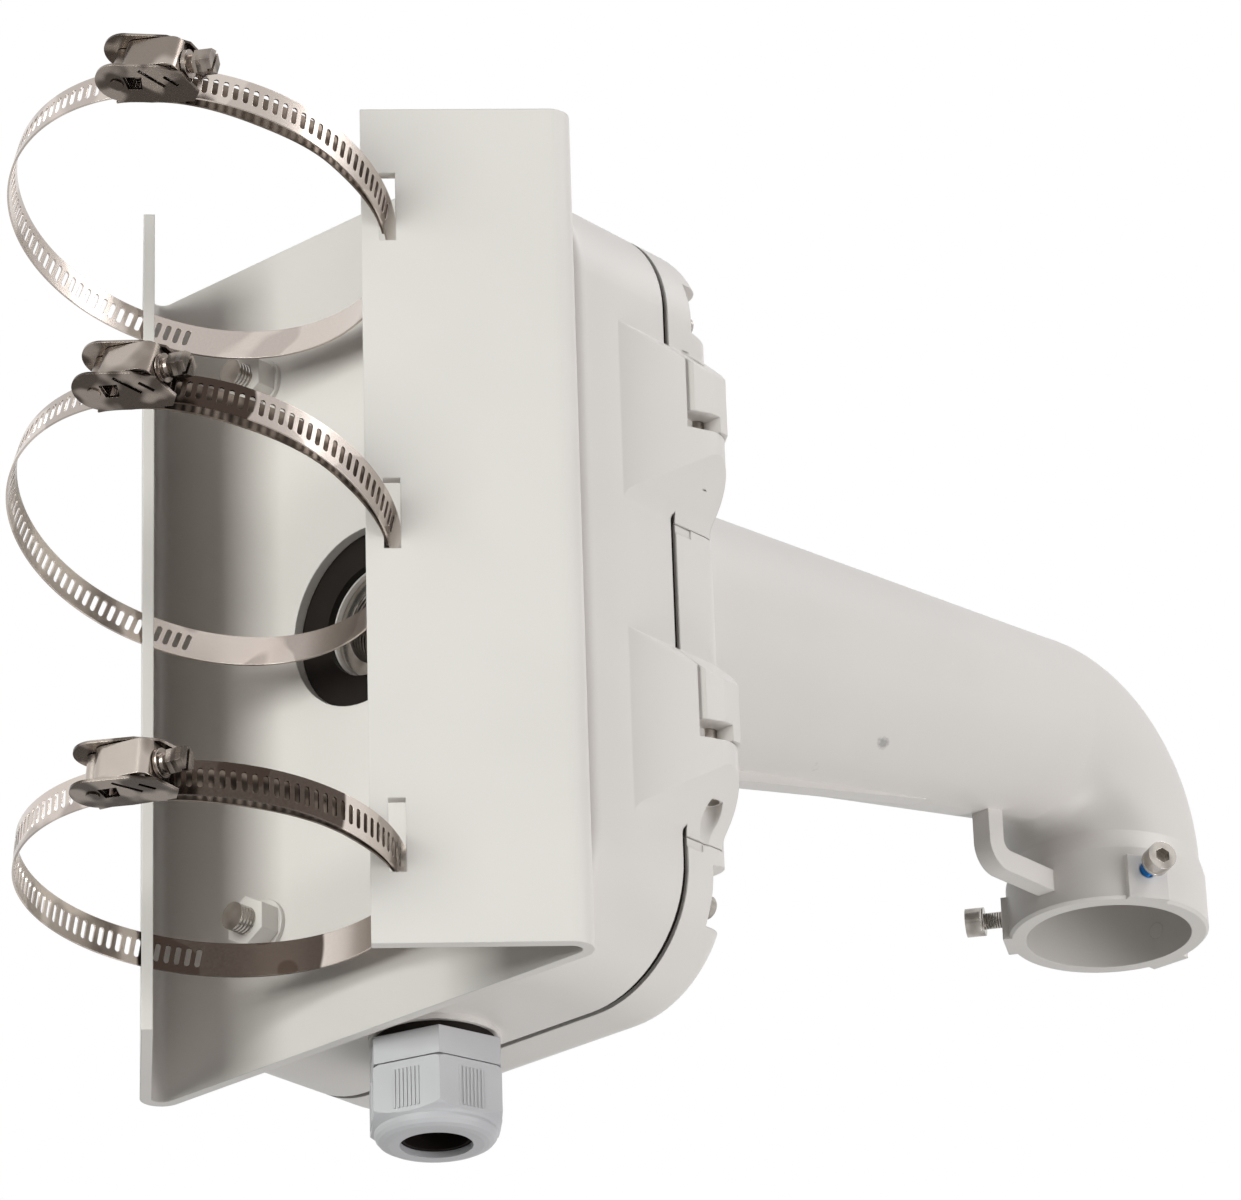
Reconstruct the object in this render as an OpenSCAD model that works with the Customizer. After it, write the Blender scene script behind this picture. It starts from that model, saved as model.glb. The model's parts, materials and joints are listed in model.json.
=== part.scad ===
// Pole mount bracket for a dome camera: a folded steel pole plate held by three worm-drive band
// clamps, a cast junction box with a hinged cover, a cable gland, and a hollow gooseneck arm whose
// socket ring takes the camera's neck.
// Frame: X runs from the pole to the camera, Y across, Z up. The origin is the centre of the
// plate's round cable hole, on the middle of the sheet.

/* [Pole plate] */
// Height of the folded plate
plate_h = 315; // [250:1:360]
// Thickness of the sheet
plate_t = 4; // [3:0.5:5]
// Width between the two sharp corners of the fold, on the middle of the sheet
plate_w = 220; // [200:1:240]
// Length of each folded flange from its sharp corner
flange_l = 80; // [72:1:86]
// Angle inside each fold
fold_angle = 44; // [40:1:48]
// Inside radius of each fold
fold_r = 3.6; // [2.5:0.1:5]
// Height of the plate's centre above the box's centre
plate_lift = 2; // [0:0.5:4]
// Radius of the round cable hole
cable_hole_r = 33.5; // [30:0.5:36]
// Width of the clamp slots, along the flange
slot_w = 5.8; // [5.4:0.1:8]
// Height of the clamp slots
slot_h = 26.6; // [24:0.2:32]
// Distance from the free edge to the slots
slot_edge = 6.2; // [5:0.1:8]
// Distance from the plate's ends to the middle of the outer slots
clamp_edge = 38.8; // [34:0.1:44]

/* [Box bolts] */
// Distance across between the bolts that hold the box to the plate
box_bolt_dy = 98; // [90:1:110]
// Height between the bolts that hold the box to the plate
box_bolt_dz = 212; // [200:1:220]
// Thread radius of these bolts
box_bolt_r = 5; // [4:0.5:5]
// Length of thread that stands out of each nut
bolt_end = 6.5; // [3:0.5:8]

/* [Box] */
// Width of the junction box
box_w = 193.4; // [180:0.2:200]
// Height of the junction box
box_h = 299; // [280:1:306]
// Radius of the box's corners
box_r = 43.5; // [36:0.5:48]
// Depth of the box body
body_depth = 47.6; // [42:0.2:56]
// Depth of the cover
cover_depth = 24.8; // [22:0.2:30]
// Wall of the box and the cover
box_wall = 4; // [3.5:0.5:5]
// Rounding of the cover's front edge
cover_round = 9; // [7:0.5:12]
// Rounding of the body's rear edge
body_round = 6; // [4.5:0.5:8]
// Thickness of the rubber ring between the plate and the box
rear_gasket_t = 3; // [2:0.5:4]
// Joint between body and cover, filled by the gasket
joint_t = 2.7; // [2:0.1:3.2]
// How far the gasket lies back from the outer face
gasket_inset = 1.5; // [0.9:0.1:2]

/* [Hinge] */
// Distance from the joint to the hinge axis, along X
hinge_x = 11.6; // [10.4:0.1:13]
// Distance from the box's side to the hinge axis
hinge_y = 3.4; // [2.6:0.1:4.4]
// Radius of the hinge knuckles
knuckle_r = 10; // [9:0.1:10.6]
// Radius of the hinge pins
pin_r = 3; // [2.5:0.1:3.4]
// Running clearance of the hinge pins
pin_clear = 0.05; // [0.02:0.01:0.1]
// Height of a hinge where it meets the box's side
lug_h = 70; // [64:1:76]
// Distance between the two hinges
hinge_pitch = 118.7; // [112:0.1:126]
// Height of the hinges' middle above the box's centre
hinge_lift = -2.2; // [-4:0.2:2]
// Height from the hinge's top down to its split
split_down = 36; // [32:0.5:40]
// Length of the hinge's flat ramp, back from the joint
lug_ramp = 24.6; // [22:0.1:28]
// Slope under a hinge, from level
foot_slope = 58; // [54:1:64]
// Radius of the cove where that slope meets the box's side
cove_r = 12; // [8:1:16]

/* [Arm] */
// Height of the arm's root above the box's centre
arm_root_z = 31.8; // [28:0.2:36]
// Radius of the arm at its root
arm_root_r = 53.8; // [48:0.2:56]
// Radius of the arm where its bend begins
arm_end_r = 38; // [37:0.2:40]
// Wall of the arm
arm_wall = 5; // [4:0.5:6]
// Slope of the arm's axis
arm_rise = 8.4; // [6:0.1:10]
// Radius of the bend, on the tube's axis
bend_r = 45; // [43:1:50]
// Distance from the plate to the socket's axis
reach = 429; // [400:1:450]
// Height of the socket's lower rim above the box's centre
rim_z = 1; // [-4:0.5:6]
// Radius of the socket that takes the camera's neck
socket_r = 33; // [31:0.5:34]
// Outer radius of the socket ring
ring_r = 40; // [39:0.2:41]
// Width of the arm's root flange
root_w = 124; // [118:1:136]
// Height of the arm's root flange
root_h = 136; // [130:1:150]
// Thickness of the arm's root flange
root_t = 8; // [6:0.5:10]
// Thickness of the seal under the root flange
root_seal_t = 1.5; // [1:0.5:2]
// Thickness of the rope eye and of the rib under the arm
rib_t = 8; // [6:0.5:10]

/* [Lock screws] */
// Thread radius of the lock screws
lock_r = 3.3; // [3:0.1:3.6]
// Radius of a lock screw's head
lock_head_r = 5.8; // [4.8:0.1:6]
// Height of a lock screw's head
lock_head_h = 7.5; // [6:0.5:8]
// Thread length of a lock screw
lock_l = 16.5; // [15:0.1:18]
// Height of the lock screws above the rim
lock_up = 12; // [9:0.5:13]
// Distance from the socket's axis to the tips of the lock screws, as they stand
lock_tip = 32.8; // [32.8:0.1:34]
// Length of the third lock screw, which has no head
set_l = 8.5; // [7:0.5:9]

/* [Cable gland] */
// Distance from the plate to the gland's axis
gland_x = 31; // [30.5:0.5:32]
// Radius of the gland's opening
gland_bore_r = 12.6; // [11:0.2:14]
// Radius of the gland's thread
gland_thread_r = 18.5; // [18:0.1:19.5]
// Hexagon of the gland body, across flats
gland_af = 43.5; // [42:0.5:44]
// Height of the hexagon
gland_hex_h = 10; // [8:0.5:12]
// Hexagon of the clamping nut, across flats
nut_af = 44; // [43:0.2:45]
// Height of the clamping nut
nut_h = 24; // [22:0.5:26]

/* [Band clamps] */
// How far behind the slots the centres of the top, middle and bottom loop lie
loop_back = [33.6, 33.2, 28.4];
// Width of the band
band_w = 12.7; // [12:0.1:13]
// Thickness of the band
band_t = 0.7; // [0.6:0.1:0.8]
// Tilt of the top, middle and bottom loops
loop_tilt = [17.2, 19.3, 6.5];
// How far below the slots' middle each loop lies
loop_drop = [2.6, 4.1, 6.2];
// Place of the worm housing round each loop, as an angle
housing_at = [210, 203, 202];
// Length of a worm housing
housing_l = 36; // [35:0.5:38]
// How far the housing's side plates stand out from the band
housing_h = 16; // [15:0.5:18]
// Room between the band's edges and the side plates
side_gap = 0.3; // [0.2:0.1:3]
// How far each saddle stands open, as an angle about its pivot
saddle_open = 8; // [0:1:12]
// Gap between pieces that slide or rest on each other
seat_gap = 0.15; // [0.1:0.05:0.3]

/* [Hidden] */
$fn = 64;
tiny = 0.02;

coat = "gainsboro";
steel = "silver";
rubber = "#26211f";
grey_plastic = "lightsteelblue";

// Fold geometry
fold_mid_r = fold_r + plate_t / 2;
fold_run = fold_mid_r / tan(fold_angle / 2);
web_half = plate_w / 2 - fold_run;
fold_span = 180 - fold_angle;
fold_chords = 16;
slot_s = flange_l - slot_edge - slot_w / 2;
slot_x = -slot_s * sin(fold_angle);
slot_y = plate_w / 2 - slot_s * cos(fold_angle);
clamp_pitch = plate_h / 2 - clamp_edge;

// Planes along X
plate_face = plate_t / 2;
box_back = plate_face + rear_gasket_t;
body_rim = box_back + body_depth;
cover_rim = body_rim + joint_t;
cover_front = cover_rim + cover_depth;
root_face = cover_front + root_seal_t;

// Hinge places
axis_x = body_rim + hinge_x;
side_y = -box_w / 2;
axis_y = side_y - hinge_y;
hinge_z = [for (s = [1, -1]) hinge_lift + s * hinge_pitch / 2];
lug_out = hinge_y + knuckle_r;
knuckle_flat = [-2, 5.4];
knuckle_chamfer = 5.6;
knuckle_reach = norm([knuckle_flat[1], knuckle_r]) + 0.04;
swing_gap = 0.4;
split_gap = 1;
relief_below = 0.4;
side_relief = 0.5;
side_relief_h = 3.7;
notch_h = 6;
pin_inset = 14;
pin_hole_r = 4;

// Arm places
bend_x = reach - bend_r * (1 + sin(arm_rise));
bend_z = arm_root_z + (bend_x - cover_front) * tan(arm_rise);
bend_cx = bend_x + bend_r * sin(arm_rise);
bend_cz = bend_z - bend_r * cos(arm_rise);
arm_run = (bend_x - cover_front) / cos(arm_rise);
ring_h = 22;
ring_edge = 1.2;
rib_end_x = bend_x - 68;
rib_end_z = 23;
beyond = 2 * reach;
pad_w = 17;
pad_h = 18;
pad_out = ring_r + 1.5;
lock_angles = [120, -120, 0];
shoulder_out = lock_tip + lock_l;

// Gland places
box_floor = -box_h / 2;
gland_boss_h = 2;
gland_boss_r = 22.8;
gland_seat = box_floor + box_wall + 2.5;
gland_washer_t = 3;
gland_turn = 16.3;
hex_top = box_floor - gland_boss_h - gland_washer_t;
hex_end = hex_top - gland_hex_h;
nut_gap = 0.5;
nut_top = hex_end - nut_gap;

// Clamp places
function band_r(i) = norm([slot_y, loop_back[i]]);
function loop_centre(i) =
    let (back = loop_back[i], t = loop_tilt[i])
    [slot_x - back * cos(t), 0, plate_lift + (1 - i) * clamp_pitch - loop_drop[i] + back * sin(t)];

// Corner screws of the cover
corner_y = box_w / 2 - 12.5;
corner_z = box_h / 2 - 37;
pocket_w = 21;
pocket_h = 21;
pocket_shift = 1.8;
pocket_lean = 4;
pocket_floor = cover_front - 12;
screw_r = 2.5;
screw_head_r = 4.25;
screw_head_h = 5;
screw_lift = 6.2;
screw_places = [for (b = [1, -1], a = [-1, 1]) [a * corner_y, b * corner_z]];

// Rectangle with true round corners
module round_rect(w, h, r) {
    square([w - 2 * r, h], center = true);
    square([w, h - 2 * r], center = true);
    for (a = [-1, 1], b = [-1, 1])
        translate([a * (w / 2 - r), b * (h / 2 - r)]) circle(r);
}

// Slab with round corners whose far edge, at height t, is rounded by e
module pillow(w, h, r, t, e) {
    linear_extrude(t - e) round_rect(w, h, r);
    linear_extrude(t) round_rect(w - 2 * e, h - 2 * e, r - e);
    for (s = [-1, 1]) {
        translate([s * (w / 2 - e), 0, t - e]) rotate([90, 0, 0])
            cylinder(r = e, h = h - 2 * r, center = true);
        translate([0, s * (h / 2 - e), t - e]) rotate([0, 90, 0])
            cylinder(r = e, h = w - 2 * r, center = true);
    }
    for (a = [-1, 1], b = [-1, 1])
        translate([a * (w / 2 - r), b * (h / 2 - r), t - e])
            rotate_extrude() translate([r - e, 0]) circle(e);
}

// Turns a shape drawn in XY and grown along Z into one that grows along +X, with its Y up
module along_x(x) {
    translate([x, 0, 0]) rotate([90, 0, 90]) children();
}

module x_cylinder(r, x0, x1, y = 0, z = 0) {
    translate([x0, y, z]) rotate([0, 90, 0]) cylinder(r = r, h = x1 - x0);
}

module hexagon(af, h) {
    rotate(30) cylinder(r = af / sqrt(3), h = h, $fn = 6);
}

module at_corners(dy, dz, z = 0) {
    for (a = [-1, 1], b = [-1, 1]) translate([0, a * dy / 2, z + b * dz / 2]) children();
}

// Folded section: each bend is an arc of short chords, so the sheet is one clean outline
function on_bend(r, a) = [r * cos(a) - fold_mid_r, r * sin(a) + web_half];
function flange_tip(side) =
    [side * plate_t / 2 * cos(fold_span) - flange_l * sin(fold_angle),
     plate_w / 2 - flange_l * cos(fold_angle) + side * plate_t / 2 * sin(fold_span)];

module folded_section() {
    half = concat([for (i = [0 : fold_chords]) on_bend(fold_r + plate_t, i * fold_span / fold_chords)],
                  [flange_tip(1), flange_tip(-1)],
                  [for (i = [fold_chords : -1 : 0]) on_bend(fold_r, i * fold_span / fold_chords)]);
    mirrored = [for (i = [len(half) - 1 : -1 : 0]) [half[i].x, -half[i].y]];
    polygon(concat(half, mirrored));
}

module flange_slots(side) {
    for (i = [0 : 2])
        translate([slot_x, side * slot_y, plate_lift + (1 - i) * clamp_pitch])
            rotate(side * (-90 - fold_angle))
                cube([slot_w, 3 * plate_t, slot_h], center = true);
}

module pole_plate() {
    color(coat) difference() {
        translate([0, 0, plate_lift - plate_h / 2]) linear_extrude(plate_h) folded_section();
        for (side = [-1, 1]) flange_slots(side);
        x_cylinder(cable_hole_r, -plate_t, plate_t);
        at_corners(box_bolt_dy, box_bolt_dz, plate_lift)
            x_cylinder(box_bolt_r + 0.5, -plate_t, plate_t);
    }
}

module bolt_places() {
    at_corners(box_bolt_dy, box_bolt_dz, plate_lift) children();
}

nut_t = 8;
washer_t = 1.6;
bolt_head_t = 6.4;
bolt_tip = -plate_face - washer_t - nut_t - bolt_end;
bolt_seat = box_back + box_wall;

module plate_bolts() {
    color(steel) bolt_places() {
        x_cylinder(box_bolt_r, bolt_tip, bolt_seat + 1);
        along_x(bolt_seat) hexagon(box_bolt_r * 3.25, bolt_head_t);
    }
}

module plate_nuts() {
    color(coat) bolt_places() difference() {
        along_x(-plate_face - washer_t - nut_t) hexagon(box_bolt_r * 3.25, nut_t);
        x_cylinder(box_bolt_r, bolt_tip, 0);
    }
}

module plate_washers() {
    color(coat) bolt_places() difference() {
        x_cylinder(box_bolt_r * 2, -plate_face - washer_t, -plate_face);
        x_cylinder(box_bolt_r + 0.3, bolt_tip, 0);
    }
}

hub_r = 20;
hub_bore_r = 15;
hub_flange_r = 26;

module rear_gasket() {
    color(rubber) {
        difference() {
            x_cylinder(cable_hole_r + 9, plate_face, box_back);
            x_cylinder(hub_r + 1, 0, box_back + 1);
        }
        bolt_places() difference() {
            x_cylinder(box_bolt_r * 2.2, plate_face, box_back);
            x_cylinder(box_bolt_r + 0.4, 0, box_back + 1);
        }
    }
}

// Plan of a lug: a flat ramp from the side wall out to the round knuckle
module lug_outline() {
    slant = atan2(hinge_y, lug_ramp + hinge_x) + asin(knuckle_r / norm([lug_ramp + hinge_x, hinge_y]));
    touch = [axis_x - knuckle_r * sin(slant), axis_y - knuckle_r * cos(slant)];
    polygon([[body_rim - lug_ramp, side_y], touch, [axis_x, axis_y], [body_rim, side_y],
             [body_rim, side_y + box_wall], [body_rim - lug_ramp, side_y + box_wall]]);
}

// Side view of a lug: its top slopes in, its foot is steeper and ends in a cove
module lug_profile(z) {
    out = lug_out + 1;
    turn = 90 - foot_slope;
    cove = [for (a = [0 : 4 : turn]) [side_y - cove_r * (1 - cos(a)), cove_r * sin(a) - lug_h / 2]];
    knee = cove[len(cove) - 1];
    translate([0, 0, z]) rotate([90, 0, 90]) linear_extrude(2 * cover_front)
        polygon(concat([[side_y + 2 * box_wall, -lug_h / 2]], cove,
                       [[side_y - out, knee.y + (out + knee.x - side_y) * tan(foot_slope)],
                        [side_y - out, lug_h / 2 - out], [side_y, lug_h / 2],
                        [side_y + 2 * box_wall, lug_h / 2]]));
}

function split_z(z) = z + lug_h / 2 - split_down;

// Lug on the body; its upper part only carries the ramp, its lower part the knuckle too
module body_lug(z) {
    low = z - lug_h / 2;
    intersection() {
        union() {
            translate([0, 0, low]) linear_extrude(lug_h) intersection() {
                lug_outline();
                translate([0, axis_y - 3 * knuckle_r]) square([body_rim, 6 * knuckle_r]);
            }
            translate([0, 0, low]) linear_extrude(split_z(z) - split_gap / 2 - low) {
                translate([axis_x, axis_y]) circle(knuckle_r);
                lug_outline();
            }
        }
        lug_profile(z);
    }
}

// Space that the cover's knuckle needs above the split
module cover_knuckle_room(z) {
    translate([axis_x, axis_y, split_z(z) - split_gap / 2])
        cylinder(r = knuckle_reach + swing_gap, h = split_down + 2);
}

// Space that the body's knuckle needs below the split, and the wall of cover around it
module body_knuckle_room(z, wall = 0) {
    low = z - lug_h / 2 - relief_below - wall;
    translate([axis_x, axis_y, low])
        cylinder(r = knuckle_r + swing_gap + wall, h = split_z(z) + split_gap / 2 - low + wall);
}

module cover_knuckle(z) {
    high = z + lug_h / 2;
    low = split_z(z) + split_gap / 2;
    difference() {
        intersection() {
            translate([0, 0, low]) linear_extrude(high - low) intersection() {
                translate([axis_x, axis_y]) circle(knuckle_reach);
                polygon([[body_rim - lug_ramp, side_y],
                         [axis_x + knuckle_flat[0], side_y - lug_out],
                         [axis_x + knuckle_flat[1], side_y - lug_out],
                         [axis_x + knuckle_r, side_y - lug_out + knuckle_chamfer],
                         [axis_x + knuckle_r, side_y + box_wall], [cover_rim, side_y + box_wall],
                         [cover_rim, side_y]]);
            }
            lug_profile(z);
        }
        translate([axis_x - 2 * knuckle_r, axis_y - 2 * knuckle_r, low - 1])
            cube([2 * knuckle_r + 1.5, 2 * knuckle_r - 1, notch_h + 1]);
    }
}

// Moves a shape to the foot of the lower hinge, and turned over to the top of the upper one
module at_pin_ends() {
    translate([axis_x, axis_y, hinge_z[0] + lug_h / 2]) rotate([180, 0, 0]) children();
    translate([axis_x, axis_y, hinge_z[1] - lug_h / 2]) children();
}

module hinge_bores() {
    at_pin_ends() {
        translate([0, 0, -1]) cylinder(r = pin_hole_r, h = pin_inset + 1);
        translate([0, 0, pin_inset - 1])
            cylinder(r = pin_r + pin_clear, h = lug_h - 2 * pin_inset + 1.5);
    }
}

module box_body() {
    color(coat) difference() {
        union() {
            translate([body_rim, 0, 0]) rotate([0, 180, 0]) along_x(0)
                pillow(box_w, box_h, box_r, body_depth, body_round);
            for (z = hinge_z) body_lug(z);
            translate([gland_x, 0, box_floor - gland_boss_h]) cylinder(r = gland_boss_r, h = box_wall);
        }
        for (z = hinge_z) cover_knuckle_room(z);
        difference() {
            translate([body_rim + 1, 0, 0]) rotate([0, 180, 0]) along_x(0)
                pillow(box_w - 2 * box_wall, box_h - 2 * box_wall, box_r - box_wall,
                       body_depth + 1 - box_wall, body_round - box_wall / 2);
            at_corners(2 * corner_y, 2 * corner_z)
                x_cylinder(7, 0, body_rim - 0.5);
            for (a = [-1, 1], b = [-1, 1])
                translate([box_back, a > 0 ? corner_y : -corner_y - 16, b * corner_z - 2.5])
                    cube([body_depth - 1, 16, 5]);
            translate([gland_x, 0, box_floor]) cylinder(r = gland_boss_r, h = gland_seat - box_floor);
            translate([box_back, -6, box_floor + 40])
                cube([box_wall + 6, 12, 12]);
        }
        at_corners(2 * corner_y, 2 * corner_z)
            x_cylinder(screw_r + pin_clear, body_rim - 18, body_rim + 2);
        x_cylinder(hub_r + 0.3, 0, box_back + 2 * box_wall);
        bolt_places() x_cylinder(box_bolt_r + 0.3, 0, box_back + 2 * box_wall);
        translate([gland_x, 0, box_floor - 2 * gland_boss_h])
            cylinder(r = gland_thread_r + 0.3, h = 5 * box_wall);
        translate([box_back + 3, 0, box_floor + 46]) rotate([0, 90, 0])
            cylinder(r = 2, h = 20);
        hinge_bores();
    }
}

module cable_hub() {
    // flanged threaded sleeve through the box's back
    color(steel) difference() {
        union() {
            x_cylinder(hub_r, box_back + 2, box_back + 2 * box_wall + 5);
            x_cylinder(hub_r + 2.5, box_back + box_wall, box_back + box_wall + 2);
        }
        x_cylinder(hub_bore_r, 0, 40);
    }
}

module hub_locknut() {
    color(steel) difference() {
        along_x(box_back + box_wall + 2) hexagon(2 * hub_flange_r, 5);
        x_cylinder(hub_r + 0.1, 0, 40);
    }
}

module cover_gasket() {
    color(rubber) difference() {
        union() {
            along_x(body_rim) linear_extrude(joint_t)
                round_rect(box_w - 2 * gasket_inset, box_h - 2 * gasket_inset, box_r - gasket_inset);
        }
        along_x(body_rim - 1) linear_extrude(joint_t + 2)
            round_rect(box_w - 2 * box_wall, box_h - 2 * box_wall, box_r - box_wall);
        for (z = hinge_z) {
            body_knuckle_room(z);
            cover_knuckle_room(z);
        }
        translate([body_rim - 1, -8.5, -box_h / 2 - 2]) cube([joint_t + 2, 17, gasket_inset + 2.9]);
    }
}

// Corner pockets, open to the side; the wall towards the cover's middle leans
module cover_pocket_cut(grow = 0) {
    for (turn = [0, 180], a = [-1, 1]) {
        near = corner_z - pocket_h / 2 - grow + (turn > 0 ? pocket_shift : 0);
        far = near + pocket_h + 2 * grow;
        rotate([turn, 0, 0]) translate([0, a * (corner_y + pocket_w / 2 - 5) + pocket_w / 2 + grow, 0])
            rotate([90, 0, 0]) linear_extrude(pocket_w + 2 * grow)
                polygon([[pocket_floor - grow, near], [pocket_floor - grow, far], [cover_front + 6, far],
                         [cover_front + 6, near - pocket_lean]]);
    }
}

module cover_shell(w, h, r, x, t, e) {
    along_x(x) pillow(w, h, r, t, e);
}

module box_cover() {
    color(coat) difference() {
        union() {
            cover_shell(box_w, box_h, box_r, cover_rim, cover_depth, cover_round);
            for (z = hinge_z) cover_knuckle(z);
        }
        difference() {
            cover_shell(box_w - 2 * box_wall, box_h - 2 * box_wall, box_r - box_wall,
                        cover_rim - 1, cover_depth + 1 - box_wall, cover_round - box_wall);
            for (z = hinge_z) body_knuckle_room(z, box_wall - 1);
            intersection() {
                cover_pocket_cut(box_wall - 0.5);
                translate([cover_rim, -box_w, -box_h]) cube([cover_depth, 2 * box_w, 2 * box_h]);
            }
            at_corners(2 * corner_y, 2 * corner_z) x_cylinder(6.5, cover_rim + 0.5, cover_front);
        }
        for (z = hinge_z) body_knuckle_room(z);
        cover_pocket_cut();
        for (z = hinge_z)
            translate([cover_rim - 1, side_y - side_relief, z - lug_h / 2 - side_relief_h])
                cube([axis_x - cover_rim, 2 * side_relief, side_relief_h]);
        at_corners(2 * corner_y, 2 * corner_z) {
            x_cylinder(screw_r + 0.3, cover_rim - 1, cover_front);
        }
        x_cylinder(arm_root_r - 14, cover_rim, cover_front + 5, 0, arm_root_z);
        root_bolt_places() x_cylinder(4.3, cover_rim, cover_front + 5);
        hinge_bores();
    }
}

module cover_screw(i) {
    shoulder = pocket_floor + screw_lift;
    color(steel) translate([0, screw_places[i].x, screw_places[i].y]) difference() {
        union() {
            x_cylinder(screw_r, cover_rim + 0.3, shoulder + 1);
            x_cylinder(screw_head_r, shoulder, shoulder + screw_head_h);
        }
        along_x(shoulder + screw_head_h - 2.5) hexagon(4, 4);
    }
}

module hinge_pins() {
    color(steel) at_pin_ends()
        translate([0, 0, pin_inset]) cylinder(r = pin_r, h = lug_h - 2 * pin_inset);
}

module root_bolt_places() {
    at_corners(root_w - 24, root_h - 24, arm_root_z) children();
}

module root_seal() {
    color(rubber) difference() {
        along_x(cover_front) translate([0, arm_root_z]) linear_extrude(root_seal_t)
            round_rect(root_w - 2, root_h - 2, 15);
        x_cylinder(arm_root_r - 12, 0, 200, 0, arm_root_z);
        root_bolt_places() x_cylinder(4.3, 0, 200);
    }
}

module root_bolts() {
    color(steel) root_bolt_places() {
        x_cylinder(4, cover_front - box_wall - 1, root_face + root_t - 1.5);
        along_x(cover_front - box_wall - 5) hexagon(13, 5);
    }
}

module arm_tube(shrink) {
    // tapered run from the flange to the bend
    translate([cover_front, 0, arm_root_z]) rotate([0, 90 - arm_rise, 0])
        translate([0, 0, -12])
            cylinder(r1 = arm_root_r + 12 * (arm_root_r - arm_end_r) / arm_run - shrink,
                     r2 = arm_end_r - shrink, h = arm_run + 12, $fn = 96);
    // bend down to the socket
    translate([bend_cx, 0, bend_cz]) rotate([90, 0, 0])
        rotate_extrude(angle = 90 + arm_rise, $fn = 96)
            translate([bend_r, 0]) circle(arm_end_r - shrink, $fn = 96);
}

module eye_outline() {
    // strap of the safety rope's eye, drawn in XZ
    left = reach - ring_r - 40;
    low = rim_z + 7;
    round_out = 11;
    strap = 9;
    difference() {
        union() {
            translate([left + round_out, low]) square([50, 40]);
            translate([left, low + round_out]) square([50, 30]);
            translate([left + round_out, low + round_out]) circle(round_out);
        }
        translate([left + strap + 4, low + strap]) square([60, 60]);
        translate([left + strap, low + strap + 4]) square([60, 60]);
        translate([left + strap + 4, low + strap + 4]) circle(4);
        translate([left + 45, low - 1]) square([60, 60]);
    }
}

module arm() {
    color(coat) difference() {
        union() {
            intersection() {
                arm_tube(0);
                translate([root_face, -beyond / 2, -beyond / 2]) cube(beyond);
            }
            along_x(root_face) translate([0, arm_root_z]) linear_extrude(root_t)
                round_rect(root_w, root_h, 16);
            // socket ring, its blend into the bend, and the three screw pads
            translate([reach, 0, rim_z]) rotate_extrude($fn = 96)
                polygon([[socket_r - 1, 0], [ring_r - ring_edge, 0], [ring_r, ring_edge], [ring_r, ring_h],
                         [arm_end_r, bend_cz - rim_z], [socket_r - 1, bend_cz - rim_z]]);
            for (a = lock_angles) translate([reach, 0, rim_z]) rotate(a)
                translate([socket_r + 2, -pad_w / 2, 0]) cube([pad_out - socket_r - 2, pad_w, pad_h]);
            // strap of the rope eye
            translate([0, rib_t / 2, 0]) rotate([90, 0, 0]) linear_extrude(rib_t) eye_outline();
            // rib under the root
            translate([0, rib_t / 2, 0]) rotate([90, 0, 0]) linear_extrude(rib_t)
                polygon([[root_face, arm_root_z - root_h / 2 + 6],
                         [root_face + root_t, arm_root_z - arm_root_r - 7],
                         [rib_end_x, rib_end_z], [rib_end_x, rib_end_z + 2 * rib_t],
                         [root_face, arm_root_z]]);
        }
        difference() {
            arm_tube(arm_wall);
            translate([root_face - 1 - beyond, -beyond / 2, -beyond / 2]) cube(beyond);
        }
        translate([reach, 0, rim_z - 5]) cylinder(r = socket_r, h = bend_cz - rim_z + 5, $fn = 96);
        for (a = lock_angles) translate([reach, 0, rim_z + lock_up]) rotate([0, 90, a])
            cylinder(r = lock_r + pin_clear, h = 2 * ring_r);
        root_bolt_places() x_cylinder(4, root_face - 1, root_face + root_t - 1);
    }
}

// Two of the lock screws have a head, the third is a short headless one
module lock_screw(i) {
    color(steel) translate([reach, 0, rim_z + lock_up]) rotate([0, 0, lock_angles[i]])
        if (i < 2) difference() {
            union() {
                x_cylinder(lock_r, lock_tip, shoulder_out + 1);
                x_cylinder(lock_head_r, shoulder_out, shoulder_out + lock_head_h);
            }
            along_x(shoulder_out + lock_head_h - 4) hexagon(5.5, 5);
        } else difference() {
            x_cylinder(lock_r, lock_tip, lock_tip + set_l);
            along_x(lock_tip + set_l - 3) hexagon(3.2, 4);
        }
}

module ground_screw() {
    color("goldenrod") translate([0, 0, box_floor + 46]) {
        x_cylinder(1.9, box_back + box_wall, box_back + box_wall + 7);
        x_cylinder(4, box_back + box_wall + 6, box_back + box_wall + 9);
    }
}

module gland_body() {
    color(grey_plastic) translate([gland_x, 0, 0]) difference() {
        union() {
            translate([0, 0, hex_top - 1]) cylinder(r = gland_thread_r, h = gland_seat - hex_top + 8);
            translate([0, 0, hex_end]) rotate(gland_turn) hexagon(gland_af, gland_hex_h);
            translate([0, 0, hex_end - 9]) cylinder(r = gland_thread_r - 0.5, h = 10);
        }
        translate([0, 0, hex_end - nut_h]) cylinder(r = gland_bore_r + 1.2, h = 3 * nut_h);
    }
}

module gland_washer() {
    color(rubber) translate([gland_x, 0, hex_top]) difference() {
        cylinder(r = 21.2, h = gland_washer_t);
        translate([0, 0, -1]) cylinder(r = gland_thread_r + 0.1, h = 10);
    }
}

module gland_locknut() {
    color(grey_plastic) translate([gland_x, 0, gland_seat]) difference() {
        hexagon(41, 5);
        translate([0, 0, -1]) cylinder(r = gland_thread_r + 0.1, h = 10);
    }
}

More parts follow.
